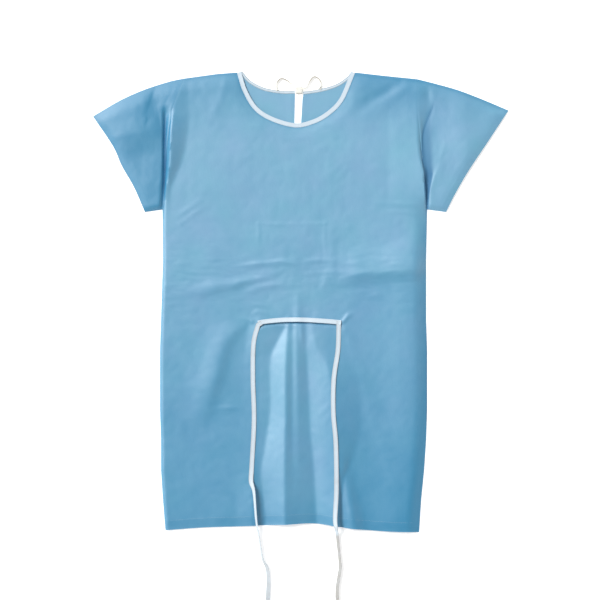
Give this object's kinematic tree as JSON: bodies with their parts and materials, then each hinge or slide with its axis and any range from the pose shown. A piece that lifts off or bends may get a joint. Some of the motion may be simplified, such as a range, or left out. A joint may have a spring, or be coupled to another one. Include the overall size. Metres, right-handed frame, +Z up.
{
  "type": "non-woven patient gown, laid flat",
  "caption": "Open-backed gown of thin non-woven cloth with short sleeves, a taped round neck tied at the nape and a waist tape with long loose ends, laid flat.",
  "frame": {"origin": "middle of the gown's box at its lowest face, measured without the waist tape's free ends", "axes": "+Y from hem to neck, +X to the right as seen from above with the front up, +Z up from the surface it lies on"},
  "size_m": [1.092, 1.436, 0.0226],
  "materials": {
    "cloth": "matt spun-bonded non-woven with a faint embossed texture",
    "tape": "matt white non-woven tape"
  },
  "bodies": {
    "root": {"front": "cloth", "back_left": "cloth", "back_right": "cloth", "sleeve_left": "cloth", "sleeve_right": "cloth", "neck_binding_front": "tape", "neck_binding_back_left": "tape", "neck_binding_back_right": "tape", "neck_knot": "tape", "neck_loop_left": "tape", "neck_loop_right": "tape", "waist_tape": "tape", "waist_tie_left": "tape", "waist_tie_right": "tape"}
  },
  "joints": []
}
